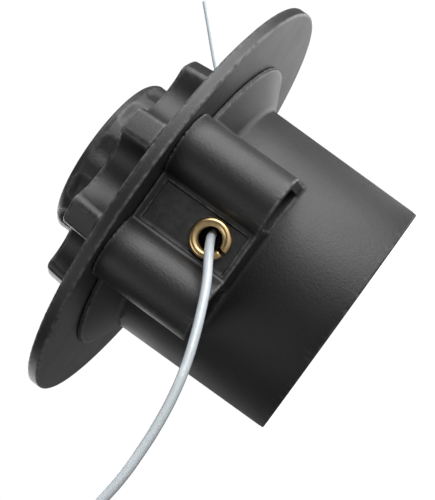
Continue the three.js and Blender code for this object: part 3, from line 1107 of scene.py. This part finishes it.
# ------------------------------------------------------------------ cover
@dataclass
class Cover:
    """The wide disc that closes the housing, with its hooked latch arms."""

    thick: float = 3.6
    opening: float = 27.3
    rim: float = 0.6
    spigot: tuple[float, float] = (38.1, 40.1)
    spigot_depth: float = 2.4
    block_half: float = 24.4
    lugs: int = 8
    lug_half: float = 8.0
    lug_ring: tuple[float, float] = (27.6, 33.2)
    lug_height: float = 2.0
    arm_half: float = 3.0
    arm_thick: float = 2.4
    arm_out: float = 50.3
    hook: float = 2.0
    hook_height: float = 2.5
    hook_top: float = 32.7
    hook_slope: float = 0.5
    hook_blunt: float = 0.4
    wing_offset: float = 15.4
    low: Array = field(init=False)
    high: Array = field(init=False)

    def __post_init__(self) -> None:
        """Takes the disc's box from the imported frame."""
        self.low, self.high = span("cover")

    def shape(self, x: Array, y: Array, z: Array) -> Array:
        """The cover's distance field.

        Args:
            x: Across, in millimetres.
            y: Front to back.
            z: Up.

        Returns:
            Distance to the surface, negative inside.
        """
        r = np.hypot(x, y)
        foot = self.high[2] - self.thick
        disc = meet(r - self.high[0], slab(z, foot, self.high[2]), self.rim)
        disc = cut(disc, r - self.opening, rounding=0.5)
        rise = slab(z, foot - self.spigot_depth, foot + OVERLAP)
        spigot = np.maximum(slab(r, *self.spigot), rise)
        spigot = np.maximum(spigot, self.block_half - np.abs(x))
        made = join(disc, spigot, fillet=0.4)
        lug = index_teeth(x, y, self.lugs, self.lug_half, self.lug_ring)
        lug = meet(lug, slab(z, foot - self.lug_height, foot + OVERLAP), rounding=0.3)
        made = join(made, lug, fillet=0.3)
        return join(made, self._arms(x, y, z, foot), fillet=0.8)

    def _arms(self, x: Array, y: Array, z: Array, foot: float) -> Array:
        """Four latch arms with their hooks.

        Args:
            x: Across, in millimetres.
            y: Front to back.
            z: Up.
            foot: Height of the disc's underside.

        Returns:
            Distance to the surface, negative inside.
        """
        side, out = np.abs(x) - self.wing_offset, np.abs(y)
        arm = block(side, out, (-self.arm_half, self.arm_out - self.arm_thick),
                    (self.arm_half, self.arm_out))
        arm = meet(arm, slab(z, self.low[2], foot + OVERLAP), rounding=0.4)
        slope = (z - self.hook_top) * self.hook_slope + (out - self.arm_out)
        hook = block(side, out, (-self.arm_half, self.arm_out - OVERLAP),
                     (self.arm_half, self.arm_out + self.hook))
        hook = meet(hook, slab(z, self.hook_top - self.hook_height, self.hook_top), rounding=0.2)
        return join(arm, np.maximum(hook, -slope - self.hook - self.hook_blunt), fillet=0.2)

    def build(self, finishes: Finishes) -> None:
        """Builds and dresses the cover.

        Args:
            finishes: The object's materials.
        """
        moulder = Moulder(step=0.5, keep=0.5)
        piece = moulder.mesh("cover_disc", self.shape, self.low, self.high)
        finishes.dress(piece, Slot.NYLON, "housing", "cover")


# ------------------------------------------------------------------ eyelets
@dataclass
class Eyelet:
    """A split brass ferrule with a rolled lip, which the line runs through."""

    side: str
    bore: float = 3.15
    barrel: float = 4.0
    lip: float = 5.45
    slot_half: float = 0.5
    slot_turn: float = 15.0
    lip_rise: float = 1.5
    root: float = 0.6

    def build(self, finishes: Finishes) -> None:
        """Builds and dresses one eyelet.

        Args:
            finishes: The object's materials.
        """
        node = f"eyelet_{self.side}"
        low, high = span(node)
        facing = -1.0 if self.side == "front" else 1.0
        centre = (low + high) / 2
        face = high[1] if facing > 0 else -low[1]
        seat = face - self.lip_rise
        tail = low[1] if facing > 0 else -high[1]
        roll = (self.lip - self.bore) / 2

        def shape(x: Array, y: Array, z: Array) -> Array:
            """Field of the ferrule.

            Args:
                x: Across, in millimetres.
                y: Front to back.
                z: Up.

            Returns:
                Distance to the surface, negative inside.
            """
            out = facing * y
            across = -facing * (x - centre[0])
            rise = z - centre[2]
            r = np.hypot(across, rise)
            lip = np.hypot(r - (self.lip + self.bore) / 2, out - (face - roll)) - roll
            lip = np.maximum(lip, seat - out)
            barrel = np.maximum(slab(r, self.bore, self.barrel), slab(out, tail, seat + self.root))
            made = join(lip, barrel, fillet=0.25)
            turn = math.radians(self.slot_turn)
            along = -rise * math.cos(turn) - across * math.sin(turn)
            beside = np.abs(across * math.cos(turn) - rise * math.sin(turn))
            gap = np.maximum(beside - self.slot_half, -along)
            return cut(made, gap, rounding=0.2)

        piece = Moulder(step=0.17, edge=0.2).mesh(f"brass_{node}", shape, low, high)
        finishes.dress(piece, Slot.BRASS, "housing", node)


# ------------------------------------------------------------------ drive hardware
@dataclass
class Hardware:
    """Nuts, washers and the knob's bolt."""

    thread_depth: float = 0.55
    countersink: float = 0.6
    countersink_slope: float = 0.8
    bolt_head: float = 4.0
    bolt_radius: float = 3.0
    bolt_pitch: float = 1.0
    bolt_thread: float = 0.6
    bolt_plain: float = 9.0
    bolt_tip: float = 2.4
    tip_slope: float = 0.7
    head_cup: float = 3.2
    cup_depth: float = 0.5

    def washer(self, finishes: Finishes, node: str, bore: float, body: str) -> None:
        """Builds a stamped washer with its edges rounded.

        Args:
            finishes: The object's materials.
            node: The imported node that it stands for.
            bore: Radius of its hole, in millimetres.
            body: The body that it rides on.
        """
        low, high = span(node)

        def shape(x: Array, y: Array, z: Array) -> Array:
            """Field of the washer.

            Args:
                x: Across, in millimetres.
                y: Front to back.
                z: Up.

            Returns:
                Distance to the surface, negative inside.
            """
            r = np.hypot(x, y)
            ring = meet(r - high[0], slab(z, low[2], high[2]), rounding=0.25)
            return cut(ring, r - bore, rounding=0.15)

        piece = Moulder(step=0.3, keep=0.6, edge=0.3).mesh(f"plated_{node}", shape, low, high)
        finishes.dress(piece, Slot.STEEL, body, node)

    def nut(self, finishes: Finishes, node: str, bore: float, pitch: float, body: str) -> None:
        """Builds a chamfered hexagon nut with its thread.

        Args:
            finishes: The object's materials.
            node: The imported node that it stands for.
            bore: Radius at the thread's crest, in millimetres.
            pitch: The thread's pitch.
            body: The body that it rides on.
        """
        low, high = span(node)
        flats = high[0] - low[0]
        middle, half = (low[2] + high[2]) / 2, (high[2] - low[2]) / 2

        def shape(x: Array, y: Array, z: Array) -> Array:
            """Field of the nut.

            Args:
                x: Across, in millimetres.
                y: Front to back.
                z: Up.

            Returns:
                Distance to the surface, negative inside.
            """
            r = np.hypot(x, y)
            prism = np.maximum(hexagon(x, y, flats), np.abs(z - middle) - half)
            chamfer = (np.abs(z - middle) - half) * CHAMFER_UP + (r - flats / 2) * CHAMFER_OUT
            prism = meet(prism, chamfer, rounding=0.15)
            groove = thread(x, y, z, pitch, self.thread_depth * pitch)
            inward = half - np.abs(z - middle)
            mouth = bore + self.countersink - inward * self.countersink_slope
            hole = r - np.maximum(bore + groove, mouth)
            return cut(prism, hole * FLANK, rounding=0.08)

        piece = Moulder(step=0.22, keep=0.6, edge=0.25).mesh(f"plated_{node}", shape, low, high)
        finishes.dress(piece, Slot.STEEL, body, node)

    def bolt(self, finishes: Finishes) -> None:
        """Builds the bolt that clamps the knob, the grip ring and the spool.

        Args:
            finishes: The object's materials.
        """
        low, high = span("knob_bolt")
        flats = high[0] - low[0]

        def shape(x: Array, y: Array, z: Array) -> Array:
            """Field of the bolt.

            Args:
                x: Across, in millimetres.
                y: Front to back.
                z: Up.

            Returns:
                Distance to the surface, negative inside.
            """
            r = np.hypot(x, y)
            hexed = np.maximum(hexagon(x, y, flats), slab(z, low[2], low[2] + self.bolt_head))
            chamfer = (low[2] - z) * CHAMFER_UP + (r - flats / 2) * CHAMFER_OUT
            hexed = meet(hexed, chamfer, rounding=0.15)
            cup = meet(r - self.head_cup, z - low[2] - self.cup_depth, rounding=0.2)
            hexed = cut(hexed, cup, rounding=0.15)
            groove = thread(x, y, z, self.bolt_pitch, self.bolt_thread)
            groove = groove * np.clip(z - low[2] - self.bolt_plain, 0, 1)
            shank = (r - self.bolt_radius + groove) * FLANK
            shank = np.maximum(shank, slab(z, low[2] + OVERLAP, high[2]))
            tip = (z - high[2]) * self.tip_slope + (r - self.bolt_tip) * self.tip_slope
            return join(hexed, np.maximum(shank, tip), fillet=0.15)

        piece = Moulder(step=0.18, keep=0.6, edge=0.2).mesh("plated_knob_bolt", shape, low, high)
        finishes.dress(piece, Slot.STEEL, "spool", "knob_bolt")

    def build(self, finishes: Finishes) -> None:
        """Builds and dresses every fastener and washer.

        Args:
            finishes: The object's materials.
        """
        self.nut(finishes, "arbor_nut", 4.4, 1.25, "housing")
        self.washer(finishes, "arbor_washer", 5.6, "housing")
        self.washer(finishes, "thrust_washer", 12.5, "thrust_washer")
        self.washer(finishes, "knob_washer", 3.3, "spool")
        self.nut(finishes, "knob_nut", 3.3, 1.0, "spool")
        self.bolt(finishes)


# ------------------------------------------------------------------ spring
@dataclass
class ReturnSpring:
    """Compression spring with closed ends, which pushes the spool up."""

    wire: float = 1.8
    turns: float = 5.0
    closed: float = 0.75
    steps: int = 40
    sides: int = 12
    stroke: float = 5.0

    def build(self, finishes: Finishes) -> None:
        """Builds the coil as a mesh.

        Args:
            finishes: The object's materials.
        """
        low, high = span("return_spring")
        radius = (high[0] - low[0] - self.wire) / 2
        start, end = low[2] + self.wire / 2, high[2] - self.wire / 2
        closed = self.closed / self.turns
        count = int(self.turns * self.steps)
        rings = []
        for i in range(count + 1):
            t = i / count
            tight = 0.25 * closed
            rise = np.interp(t, [0, closed, 1 - closed, 1], [0, tight, 1 - tight, 1])
            turn = 2 * math.pi * self.turns * t
            centre = np.array([radius * math.cos(turn), radius * math.sin(turn)])
            out = centre / radius
            for k in range(self.sides):
                a = 2 * math.pi * k / self.sides
                reach = self.wire / 2 * math.cos(a)
                height = start + (end - start) * rise + self.wire / 2 * math.sin(a)
                rings.append((*(centre + out * reach), height))
        quads = []
        for i in range(count):
            for k in range(self.sides):
                n = (k + 1) % self.sides
                a, b = i * self.sides, (i + 1) * self.sides
                quads.append([a + k, b + k, b + n, a + n])
        piece = new_object("coil_return_spring", np.array(rings) * MM, np.array(quads))
        self._cap(piece)
        piece.data.shade_smooth()
        finishes.dress(piece, Slot.STEEL, "housing", "return_spring")
        height = high[2] - low[2]
        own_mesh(piece)

    @staticmethod
    def _cap(piece: bpy.types.Object) -> None:
        """Closes the wire's two ends and turns every face outwards.

        Args:
            piece: The coil.
        """
        made = bmesh.new()
        made.from_mesh(piece.data)
        bmesh.ops.holes_fill(made, edges=[e for e in made.edges if e.is_boundary])
        bmesh.ops.recalc_face_normals(made, faces=made.faces)
        made.to_mesh(piece.data)
        made.free()


# ------------------------------------------------------------------ spool and its line
@dataclass
class Spool:
    """Two-channel spool with index teeth on both faces and a neck for the grip ring."""

    flange: float = 2.0
    divider: tuple[float, float] = (41.3, 42.8)
    barrel: float = 19.0
    well: float = 16.5
    ledge: float = 43.5
    shaft: float = 12.5
    neck: float = 26.5
    neck_wall: float = 3.0
    plate: float = 3.7
    teeth: int = 8
    tooth_half: float = 8.0
    tooth_ring: tuple[float, float] = (27.6, 33.2)
    tooth_height: float = 2.0
    bolt_hole: float = 3.3
    cover_thick: float = 3.6
    tooth_clear: float = 0.4
    line: float = 2.4
    line_clear: float = 0.35
    line_steps: int = 28
    climb: float = 0.07
    low: Array = field(init=False)
    high: Array = field(init=False)

    def __post_init__(self) -> None:
        """Takes the spool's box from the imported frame."""
        self.low, self.high = span("spool")

    @property
    def faces(self) -> tuple[float, float]:
        """Underside of the lower flange and top of the upper one."""
        top = span("cover")[1][2] - self.cover_thick - 2 * self.tooth_height - self.tooth_clear
        return self.low[2] + self.tooth_height, top

    def shape(self, x: Array, y: Array, z: Array) -> Array:
        """The spool's distance field.

        Args:
            x: Across, in millimetres.
            y: Front to back.
            z: Up.

        Returns:
            Distance to the surface, negative inside.
        """
        r = np.hypot(x, y)
        bottom, top = self.faces
        made = meet(r - self.barrel, slab(z, bottom, top))
        for z0, z1 in ((bottom, bottom + self.flange), self.divider, (top - self.flange, top)):
            rim = meet(r - self.high[0], slab(z, z0, z1), rounding=0.5)
            made = join(made, rim, fillet=0.8)
        neck = meet(r - self.neck, slab(z, top - OVERLAP, self.high[2]), rounding=0.4)
        made = join(made, neck, fillet=0.8)
        tooth = index_teeth(x, y, self.teeth, self.tooth_half, self.tooth_ring)
        tooth = meet(tooth, slab(z, self.low[2], top + self.tooth_height), rounding=0.3)
        root = OVERLAP / 2
        tooth = np.maximum(tooth, -slab(z, bottom + root, top - root))
        made = join(made, tooth, fillet=0.3)
        roof = self.high[2] - self.plate
        hollow = np.maximum(r - self.well, z - self.ledge)
        hollow = np.minimum(hollow, np.maximum(r - self.shaft, z - top + self.flange))
        throat = cone(r, z, (self.shaft, top - self.flange), (self.neck - self.neck_wall, top))
        throat = np.maximum(throat, r - self.neck + self.neck_wall)
        hollow = np.minimum(hollow, np.maximum(throat, slab(z, top - self.flange, roof)))
        hollow = np.minimum(hollow, np.maximum(r - self.bolt_hole, roof - OVERLAP - z))
        return cut(made, hollow, rounding=0.3)

    def build(self, finishes: Finishes) -> None:
        """Builds and dresses the spool and both windings.

        Args:
            finishes: The object's materials.
        """
        piece = Moulder(step=0.5, keep=0.6).mesh("line_spool", self.shape, self.low, self.high)
        finishes.dress(piece, Slot.NYLON, "spool", "spool")
        for node in ("winding_lower", "winding_upper"):
            self.winding(finishes, node)

    def winding(self, finishes: Finishes, node: str) -> None:
        """Lays the wound line turn by turn, in layers that cross back and forth.

        Args:
            finishes: The object's materials.
            node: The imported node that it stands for.
        """
        low, high = span(node)
        wire, steps = self.line, self.line_steps
        inner = self.barrel + self.line_clear + wire / 2
        per_layer = int((high[2] - low[2]) / wire)
        layers = int((high[0] - inner - wire / 2) / wire) + 1
        pitch = (high[2] - low[2] - wire) / (per_layer - 0.5)
        points = []
        for layer in range(layers):
            for i in range(per_layer * steps):
                t = i / (per_layer * steps)
                across = t if layer % 2 == 0 else 1 - t
                turn = 2 * math.pi * i / steps
                r = inner + wire * (layer + max(0.0, (t - 1 + self.climb) / self.climb))
                r = min(r, high[0] - wire / 2)
                rise = low[2] + wire / 2 + pitch * (per_layer - 0.5) * across
                points.append((r * math.cos(turn) * MM, r * math.sin(turn) * MM, rise * MM))
        curve = bpy.data.curves.new(f"wound_{node}", "CURVE")
        curve.dimensions = "3D"
        curve.bevel_depth = wire / 2 * MM
        curve.bevel_resolution = 2
        curve.use_fill_caps = True
        spline = curve.splines.new("POLY")
        spline.points.add(len(points) - 1)
        spline.points.foreach_set("co", np.insert(np.array(points), 3, 1, axis=1).ravel())
        piece = bpy.data.objects.new(f"wound_{node}", curve)
        bpy.context.scene.collection.objects.link(piece)
        finishes.dress(piece, Slot.LINE, "spool", node)


# ------------------------------------------------------------------ grip ring and knob
@dataclass
class GripRing:
    """Lobed ring that is turned by hand to wind the line on."""

    foot_radius: float = 39.8
    face_radius: float = 38.8
    lobes: int = 8
    phase: float = 19.3
    scoop: float = 10.7
    scoop_centre: float = 40.6
    well: float = 26.2
    floor: float = 3.0
    core: tuple[float, float] = (29.6, 36.2)
    core_half: float = 2.6
    bolt_hole: float = 3.3
    crest: float = 2.2
    edge: float = 1.2
    low: Array = field(init=False)
    high: Array = field(init=False)

    def __post_init__(self) -> None:
        """Takes the ring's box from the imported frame."""
        self.low, self.high = span("grip_ring")

    def shape(self, x: Array, y: Array, z: Array) -> Array:
        """The ring's distance field.

        Args:
            x: Across, in millimetres.
            y: Front to back.
            z: Up.

        Returns:
            Distance to the surface, negative inside.
        """
        r = np.hypot(x, y)
        side = cone(r, z, (self.foot_radius, self.low[2]), (self.face_radius, self.high[2]))
        fx, fy = sector_fold(x, y, self.lobes, self.phase + 180 / self.lobes)
        scoop = np.hypot(fx - self.scoop_centre, fy) - self.scoop
        made = cut(side, scoop, self.crest)
        made = meet(made, slab(z, self.low[2], self.high[2]), self.edge)
        well = meet(r - self.well, self.low[2] + self.floor - z, rounding=0.5)
        made = cut(made, well, rounding=0.5)
        cx, cy = sector_fold(x, y, self.lobes, self.phase)
        core = block(cx, cy, (self.core[0], -self.core_half), (self.core[1], self.core_half))
        core = meet(core, z - self.high[2] + self.floor, rounding=0.6)
        made = cut(made, core, rounding=0.4)
        return cut(made, r - self.bolt_hole, rounding=0.3)

    def build(self, finishes: Finishes) -> None:
        """Builds and dresses the ring.

        Args:
            finishes: The object's materials.
        """
        piece = Moulder(step=0.4, keep=0.6).mesh("lobed_grip_ring", self.shape, self.low, self.high)
        finishes.dress(piece, Slot.NYLON, "spool", "grip_ring")


@dataclass
class BumpKnob:
    """Fluted, crowned knob that is tapped on the ground to feed line."""

    radius: float = 25.3
    shoulder: float = 0.8
    nut_clear: float = 0.3
    wall: float = 3.0
    flutes: int = 12
    phase: float = 17.8
    flute: float = 9.5
    depth: float = 1.0
    crown: float = 1.8
    boss: float = 7.5
    bolt_hole: float = 3.3
    edge: float = 2.4
    fade: tuple[float, float] = (2.6, 6.0)
    low: Array = field(init=False)
    high: Array = field(init=False)

    def __post_init__(self) -> None:
        """Takes the knob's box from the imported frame."""
        self.low, self.high = span("bump_knob")

    def shape(self, x: Array, y: Array, z: Array) -> Array:
        """The knob's distance field.

        Args:
            x: Across, in millimetres.
            y: Front to back.
            z: Up.

        Returns:
            Distance to the surface, negative inside.
        """
        r = np.hypot(x, y)
        radius = self.radius
        face = radius - self.shoulder
        ball = (face**2 + self.crown**2) / (2 * self.crown)
        dome = np.sqrt(r**2 + (z - self.high[2] + ball) ** 2) - ball
        fx, fy = sector_fold(x, y, self.flutes, self.phase + 180 / self.flutes)
        rise = np.clip((z - self.high[2] + self.fade[1]) / (self.fade[1] - self.fade[0]), 0, 1)
        out = self.depth * (1 - rise * rise * (3 - 2 * rise))
        flute = np.hypot(fx - radius - self.flute + out, fy) - self.flute
        side = cut(r - radius, flute, rounding=0.8)
        made = meet(side, dome, self.edge)
        made = meet(made, self.low[2] - z, rounding=0.3)
        inside = meet(r - radius + self.wall, dome + self.wall, rounding=0.8)
        inside = cut(inside, r - self.boss, rounding=0.5)
        made = cut(made, inside, rounding=0.3)
        nut_low, nut_high = span("knob_nut")
        pocket = np.maximum(
            hexagon(x, y, nut_high[0] - nut_low[0] + 2 * self.nut_clear),
            slab(z, nut_low[2] - self.nut_clear, nut_high[2] + self.nut_clear),
        )
        bolt_top = span("knob_bolt")[1][2]
        hole = np.maximum(r - self.bolt_hole, z - bolt_top - OVERLAP)
        return cut(made, join(pocket, hole), rounding=0.2)

    def build(self, finishes: Finishes) -> None:
        """Builds and dresses the knob.

        Args:
            finishes: The object's materials.
        """
        moulder = Moulder(step=0.4, keep=0.7)
        piece = moulder.mesh("fluted_bump_knob", self.shape, self.low, self.high)
        finishes.dress(piece, Slot.KNOB, "spool", "bump_knob")


# ------------------------------------------------------------------ studio
@dataclass
class Studio:
    """Pale floor, soft lights and the camera, in metres."""

    camera_place: tuple[float, float, float] = (0.01336, -0.33264, 0.00145)
    look: tuple[float, float, float] = (-0.05168, 0.99175, 0.11732)
    camera_up: tuple[float, float, float] = (0.81221, -0.02661, 0.58276)
    lens: float = 82.84
    aim: tuple[float, float, float] = (0.0, 0.0, 0.045)
    floor_drop: float = 0.0004
    floor_half: float = 3.0
    backdrop: float = 1.02
    ambient: float = 0.075
    # strength and reach of the floor's painted bounce glow
    bounce: float = 2.0
    bounce_reach: float = 0.16

    def camera(self) -> None:
        """Places the camera: it looks along the given line with the given side up."""
        data = bpy.data.cameras.new("camera")
        data.lens = self.lens
        data.clip_start = 0.01
        data.clip_end = 50
        made = bpy.data.objects.new("camera", data)
        back = -Vector(self.look).normalized()
        right = Vector(self.camera_up).cross(back).normalized()
        up = back.cross(right)
        made.matrix_world = Matrix.Translation(self.camera_place) @ Matrix(
            (right, up, back)
        ).transposed().to_4x4()
        bpy.context.scene.collection.objects.link(made)
        bpy.context.scene.camera = made

    def lamp(self, name: str, towards: tuple, distance: float, size: tuple, watts: float) -> None:
        """Adds a soft box that faces the head.

        Args:
            name: The lamp's name.
            towards: Direction from the head to the lamp.
            distance: Its distance in metres.
            size: Its width and height in metres.
            watts: Its power.
        """
        data = bpy.data.lights.new(name, "AREA")
        data.shape = "RECTANGLE"
        data.size, data.size_y = size
        data.energy = watts
        made = bpy.data.objects.new(name, data)
        aim = Vector(towards).normalized()
        made.location = Vector(self.aim) + aim * distance
        made.rotation_mode = "QUATERNION"
        made.rotation_quaternion = aim.to_track_quat("Z", "Y")
        bpy.context.scene.collection.objects.link(made)

    def surround(self) -> None:
        """Sets the white surroundings: bright to the eye, and a softer light on the head."""
        world = bpy.data.worlds.new("surround")
        bpy.context.scene.world = world
        world.use_nodes = True
        tree = world.node_tree
        seen = tree.nodes.new("ShaderNodeLightPath")
        backdrop = tree.nodes["Background"]
        backdrop.inputs["Color"].default_value = (1, 1, 1, 1)
        strength = tree.nodes.new("ShaderNodeMath")
        strength.operation = "MULTIPLY_ADD"
        strength.inputs[1].default_value = self.backdrop - self.ambient
        strength.inputs[2].default_value = self.ambient
        link(tree, seen.outputs["Is Camera Ray"], strength.inputs[0])
        link(tree, strength.outputs[0], backdrop.inputs["Strength"])

    def floor(self) -> None:
        """Lays a wide pale floor just under the skirt's foot; it glows white to the eye, and for
        other rays it glows as painted bounce light that grows towards +X.
        """
        half, z = self.floor_half, -self.floor_drop
        points = np.array([(-half, -half, z), (half, -half, z), (half, half, z), (-half, half, z)])
        made = new_object("floor", points, np.array([[0, 1, 2, 3]]))
        p = Palette("pale_floor")
        grain = p.effect(Effects.grain(), Scale=400, Swell=6)
        colour = p.mix(grain.outputs["Tone"], (0.36, 0.36, 0.36), (0.40, 0.40, 0.40))
        seen = p.tree.nodes.new("ShaderNodeLightPath")
        place = p.tree.nodes.new("ShaderNodeTexCoord")
        across = p.tree.nodes.new("ShaderNodeSeparateXYZ")
        link(p.tree, place.outputs["Object"], across.inputs[0])
        # painted bounce light: away from the camera the floor glows brighter towards +X and lights
        # the head's underside
        lit = p.tree.nodes.new("ShaderNodeMapRange")
        lit.inputs["From Min"].default_value = 0.0
        lit.inputs["From Max"].default_value = self.bounce_reach
        lit.inputs["To Max"].default_value = self.bounce
        link(p.tree, across.outputs["X"], lit.inputs["Value"])
        glow = p.shift(lit.outputs["Result"], seen.outputs["Is Camera Ray"], 1.0)
        p.feed(Base_Color=colour, Emission_Strength=glow)
        p.set(Roughness=0.8, Emission_Color=(1, 1, 1, 1))
        p.material.cycles.emission_sampling = "NONE"
        made.data.materials.append(p.material)

    def build(self) -> None:
        """Builds the lights and the floor round the head."""
        self.surround()
        self.floor()
        for lamp in LAMPS:
            self.lamp(*lamp)
        bpy.context.scene.view_settings.view_transform = "Standard"


def main() -> None:
    """Builds the camera, the line's free ends, every piece and the studio."""
    logging.basicConfig(level=logging.INFO, format="%(name)s: %(message)s")
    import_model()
    studio = Studio()
    studio.camera()
    finishes = Finishes()
    front = FreeLine("free_line_front", "line_lead_front", "eyelet_front", FRONT_ROUTE, 0.117)
    front.build(finishes)
    back = FreeLine("free_line_back", "line_lead_back", "eyelet_back", BACK_ROUTE, 0.124)
    back.build(finishes)
    Housing().build(finishes)
    Cover().build(finishes)
    Eyelet("front").build(finishes)
    Eyelet("back").build(finishes)
    Hardware().build(finishes)
    ReturnSpring().build(finishes)
    Spool().build(finishes)
    GripRing().build(finishes)
    BumpKnob().build(finishes)
    studio.build()


if __name__ == "__main__":
    main()
